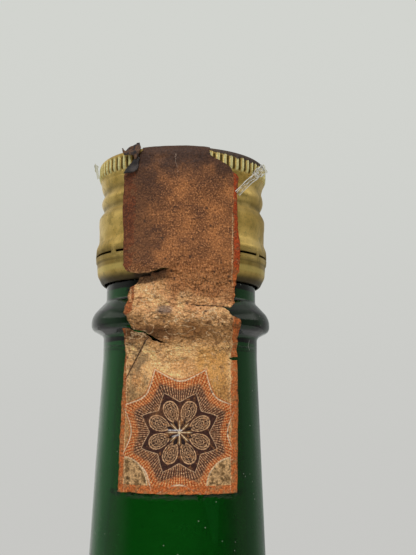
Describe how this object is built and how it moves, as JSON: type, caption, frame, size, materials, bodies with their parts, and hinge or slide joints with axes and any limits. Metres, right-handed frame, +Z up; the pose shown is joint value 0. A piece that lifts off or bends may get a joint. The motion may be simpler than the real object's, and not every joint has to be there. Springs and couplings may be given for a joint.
{
  "type": "calvados bottle",
  "caption": "Sealed dark green glass spirits bottle with a long neck, a ring under the roll-on screw cap, and a worn paper tax strip over the cap and down the neck.",
  "frame": {"origin": "centre of the ring that the bottle stands on", "axes": "+Z up along the bottle's axis, -Y towards the printed end of the strip"},
  "size_m": [0.084, 0.084, 0.3009],
  "materials": {
    "green_glass": "smooth moulded glass",
    "drink": "clear amber spirit, stood in for by a solid",
    "gold_aluminium": "dulled olive gold lacquer, worn and speckled",
    "aged_paper": "stained matt paper, brown above and tan below",
    "dark_paper": "charcoal brown torn paper",
    "clear_film": "crumpled clear wrapping film"
  },
  "bodies": {
    "root": {"glass_bottle": "green_glass", "drink": "drink", "screw_cap": "gold_aluminium", "tax_strip": "aged_paper", "torn_flap": "dark_paper", "torn_curl": "dark_paper", "film_scrap_right": "clear_film", "film_scrap_left": "clear_film"}
  },
  "joints": []
}
